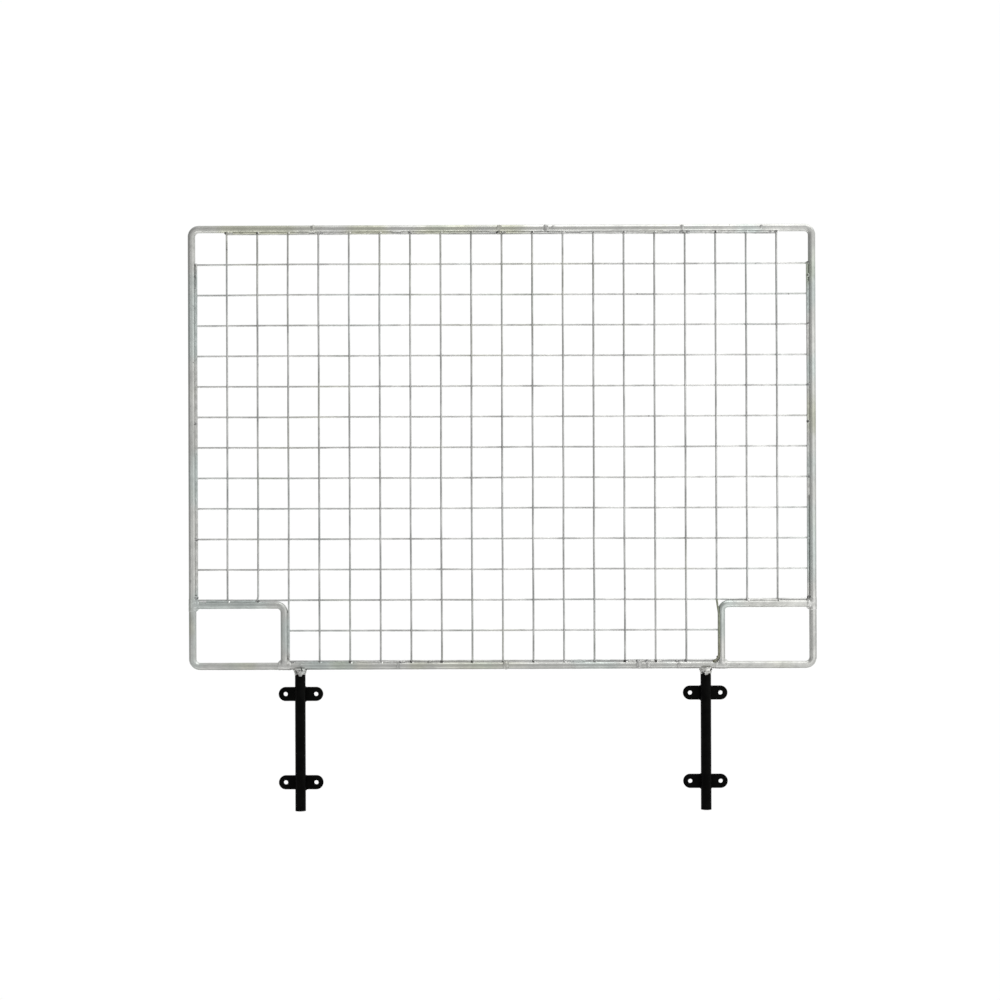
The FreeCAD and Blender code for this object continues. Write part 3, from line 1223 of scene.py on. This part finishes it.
@dataclass
class LegBracket(Assembly):
    """Leg, its socket and both lugs on one side, with the root weld and the lug welds."""

    side: Side
    root_drops: Triple = (1.4 * MM, 3.6 * MM, 5.6 * MM)
    left_flare: float = 9.6 * MM
    right_flare: float = 8.5 * MM
    lower_reaches: Span = (8.6 * MM, 7.9 * MM)
    root_sways: Triple = (1.8 * MM, 1.6 * MM, 1.0 * MM)
    root_sag: float = 1.5
    root_squash: float = 0.94
    root_points: int = 44
    root: BeadForm = BeadForm(lump=0.45, seed=7.0, radius=1.7 * MM, ripple=0.3, ripple_length=2.4 * MM)
    rim_inset: float = 1.3 * MM
    rim_rise: float = 0.6 * MM
    rim_points: int = 36
    rim: BeadForm = BeadForm(lump=0.5, seed=9.0)
    drip_sink: float = 0.5 * MM
    drip_turns: tuple[Span, ...] = (
        (-0.95, 0.0), (-0.1, 1.7 * MM), (0.2, 1.2 * MM), (0.95, 0.2 * MM), (2.4, 0.8 * MM), (3.6, 0.4 * MM)
    )
    drip: BlobForm = BlobForm(
        (1.9 * MM, 1.1 * MM, 2.2 * MM), lump=0.5 * MM, seed=5, spread=0.4, segments=10, rings=7, tilt=0.2
    )
    nook_inset: float = 2.2 * MM
    nook_forward: float = 1.2 * MM
    nook_end: float = 2.5 * MM
    flare_reach: float = 0.4 * MM
    flare_forward: float = 1.0 * MM
    flare_end: float = 0.6 * MM
    lug: BeadForm = BeadForm(lump=0.4, seed=12.0, sides=8)
    lugs: tuple[str, ...] = ("upper_lug", "lower_lug")

    @property
    def x(self) -> float:
        """Middle of the leg."""
        return self.layout.leg_x[self.side]

    def beside(self, across: float, back: float, z: float) -> Vector:
        """Point at a height, moved from the leg's axis to the right and to the back."""
        return Vector((self.x + across, self.layout.panel_y + back, z))

    def dress(self) -> None:
        """Gives the CAD leg, socket and lugs their finishes."""
        dress_node(f"leg_{self.side.word}", self.finishes.root)
        for kind in ("socket", *self.lugs):
            dress_node(f"{kind}_{self.side.word}", self.finishes.paint)

    def root_rings(self) -> list[Path]:
        """Closed lines of the beads round the leg's root, which sag in front and behind.

        Returns:
            Points of each line, topmost first. The topmost runs wider on the left leg.
        """
        here, rings = self.layout, []
        flare = self.left_flare if self.side is Side.LEFT else self.right_flare
        for drop, reach, sway in zip(self.root_drops, (flare, *self.lower_reaches), self.root_sways):
            level, depth = here.bottom_bar_z - here.bar_radius - drop, self.root_squash * reach
            rings.append([
                self.beside(reach * cos, depth * sin, level + sway * abs(cos) ** self.root_sag)
                for cos, sin in circle(self.root_points)
            ])
        return rings

    def rim_ring(self) -> Path:
        """Closed line of the bead that sits on the socket's rim."""
        reach, z = self.layout.socket_radius - self.rim_inset, self.layout.rim_z + self.rim_rise
        return [self.beside(reach * cos, reach * sin, z) for cos, sin in circle(self.rim_points)]

    def drips(self) -> Path:
        """Points of the zinc that ran over the socket's rim.

        Returns:
            The points.
        """
        reach, rim = self.layout.socket_radius - self.drip_sink, self.layout.rim_z
        return [
            self.beside(reach * math.sin(turn), -reach * math.cos(turn), rim - drop)
            for turn, drop in self.drip_turns
        ]

    def lug_beads(self) -> list[Path]:
        """Lines of the beads in the nooks between the tube and its lugs, flared at the lugs' edges.

        Returns:
            Points of each line, from below.
        """
        radius, lines = self.layout.socket_radius, []
        for kind in self.lugs:
            low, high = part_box(f"{kind}_{self.side.word}")
            middle, half = (low.z + high.z) / 2, (high.z - low.z) / 2
            flare_y, nook_y = low.y - self.flare_forward, low.y - self.nook_forward
            for hand in (-1, 1):
                nook = self.x + hand * (radius - self.nook_inset)
                flare = self.x + hand * (radius + self.flare_reach)
                lines.append([
                    Vector((flare, flare_y, middle - half - self.flare_end)),
                    Vector((nook, nook_y, middle - half + self.nook_end)),
                    Vector((nook, nook_y, middle + half - self.nook_end)),
                    Vector((flare, flare_y, middle + half + self.flare_end)),
                ])
        return lines

    def build(self) -> None:
        """Makes the root weld, the rim weld, its drips and the lug welds, with this side's own seeds."""
        word, finishes = self.side.word, self.finishes
        root, rim, drip, lug = (
            replace(form, seed=form.seed + self.side.value)
            for form in (self.root, self.rim, self.drip, self.lug)
        )
        self.add(f"root_weld_{word}", self.root_rings(), root, finishes.root, closed=True)
        self.add(f"rim_weld_{word}", [self.rim_ring()], rim, finishes.root, closed=True)
        self.add(f"rim_drips_{word}", [self.drips()], drip, finishes.weld)
        self.add(f"lug_welds_{word}", self.lug_beads(), lug, finishes.paint, Slot.PAINT)


@dataclass(frozen=True)
class SoftBox:
    """Large even light that the camera doesn't see, tipped up by some degrees from facing straight down."""

    name: str
    place: Triple
    size: Span
    power: float
    tip: float = 90.0
    spread: float = 180.0

    def hang(self) -> None:
        """Adds the light to the scene."""
        lamp = bpy.data.lights.new(self.name, "AREA")
        lamp.shape = "RECTANGLE"
        lamp.size, lamp.size_y = self.size
        lamp.energy = self.power
        lamp.spread = math.radians(self.spread)
        box = linked(self.name, lamp)
        box.location = self.place
        box.rotation_euler = (math.radians(self.tip), 0.0, 0.0)
        box.visible_camera = False


@dataclass
class Studio:
    """Pale floor, soft light from above, both sides and below, and a camera straight in front."""

    camera_place: Triple = (0.3259, -2.9594, 0.3133)
    yaw: float = 0.042
    pitch: float = 0.081
    roll: float = -0.2
    lens: float = 64.8
    sensor: float = 36.0
    floor_low: Span = (-6.0, -1.5)
    floor_high: Span = (6.6, 9.0)
    floor_colour: Triple = (0.68, 0.68, 0.68)
    white: float = 1.01
    side_edges: Span = (-0.9, 0.9)
    from_left: float = 0.41
    from_right: float = 1.06
    overhead: float = 1.3
    overhead_edges: Span = (0.45, 0.95)
    overhead_lean: float = 0.6
    rear: float = 0.4
    rear_edges: Span = (0.5, 0.95)
    rear_flatness: float = 1.5
    soft_boxes: tuple[SoftBox, ...] = (
        SoftBox("card", (1.4, -0.55, 0.38), (1.3, 1.0), power=2.0),
        SoftBox("left_card", (-1.1, -1.55, 0.4), (1.0, 1.2), power=2.2),
        SoftBox("canopy", (1.2, -0.15, 2.1), (2.4, 1.7), power=18.7, tip=0.0),
        SoftBox("apron", (0.6, -0.45, -0.185), (2.4, 0.6), power=2.9, tip=180.0, spread=120.0),
        SoftBox("hind_apron", (0.6, 0.55, -0.185), (2.4, 0.6), power=5.0, tip=180.0),
    )

    def floor(self) -> None:
        """Makes the floor under the sockets, which looks white and reflects like pale paint."""
        z = CAD_LOW.z
        (left, front), (right, rear) = self.floor_low, self.floor_high
        mesh = bpy.data.meshes.new("floor")
        corners = [(left, front, z), (right, front, z), (right, rear, z), (left, rear, z)]
        mesh.from_pydata(corners, [], [(0, 1, 2, 3)])
        floor = linked("floor", mesh)
        material, build = new_material("pale_floor")
        seen = build.add("ShaderNodeLightPath")["Is Camera Ray"]
        matt = build.add("ShaderNodeBsdfDiffuse", {"Color": opaque(self.floor_colour)})["BSDF"]
        glow = build.add("ShaderNodeEmission", {"Color": opaque(WHITE), "Strength": self.white})["Emission"]
        shown = build.add("ShaderNodeMixShader", {0: seen, 1: matt, 2: glow})["Shader"]
        build.add("ShaderNodeOutputMaterial", {"Surface": shown})
        mesh.materials.append(material)

    def light(self) -> None:
        """White surroundings that shine more from the right and from above, and the soft boxes."""
        scene = bpy.context.scene
        scene.view_settings.view_transform = "Standard"
        scene.world = world = bpy.data.worlds.new("studio")
        world.use_nodes = True
        world.node_tree.nodes.clear()
        build = TreeBuilder(world.node_tree)
        direction = build.add("ShaderNodeTexCoord")["Generated"]
        across, depth, height = build.add("ShaderNodeSeparateXYZ", {"Vector": direction})
        side = build.between(across, *self.side_edges, self.from_left, self.from_right)
        above = build.math("ADD", height, build.math("MULTIPLY", depth, self.overhead_lean))
        front = build.math("MULTIPLY", side, build.between(above, *self.overhead_edges, 1.0, self.overhead))
        slope = build.math("MULTIPLY", build.math("ABSOLUTE", height), self.rear_flatness)
        behind = build.between(build.math("SUBTRACT", depth, slope), *self.rear_edges)
        level = build.pick(behind, front, self.rear)
        seen = build.add("ShaderNodeLightPath")["Is Camera Ray"]
        strength = build.pick(seen, level, self.white)
        sky = build.add("ShaderNodeBackground", {"Color": opaque(WHITE), "Strength": strength})
        build.add("ShaderNodeOutputWorld", {"Surface": sky["Background"]})
        for box in self.soft_boxes:
            box.hang()

    def camera(self) -> None:
        """Places the camera at the viewing angle."""
        data = bpy.data.cameras.new("camera")
        data.lens = self.lens
        data.sensor_width = self.sensor
        camera = linked("camera", data)
        camera.location = self.camera_place
        level = Euler((math.radians(90.0 + self.pitch), 0.0, math.radians(-self.yaw)), "XYZ").to_matrix()
        tilt = Euler((0.0, 0.0, math.radians(self.roll)), "XYZ").to_matrix()
        camera.rotation_euler = (level @ tilt).to_euler()
        bpy.context.scene.camera = camera


def main() -> None:
    """Builds and dresses every piece."""
    logging.basicConfig(level=logging.INFO, format="%(name)s: %(message)s")
    studio = Studio()
    studio.camera()
    studio.light()
    studio.floor()
    layout, finishes = Layout.measured(), Finishes.mixed()
    parts = (layout, finishes, {form: form.tree() for form in (WireForm, BeadForm, BlobForm)})
    bars = BarFrame(*parts)
    bars.dress()
    bars.build()
    WireMesh(*parts).build()
    TackWelds(*parts).build()
    for side in Side:
        bracket = LegBracket(*parts, side)
        bracket.dress()
        bracket.build()


if __name__ == "__main__":
    main()
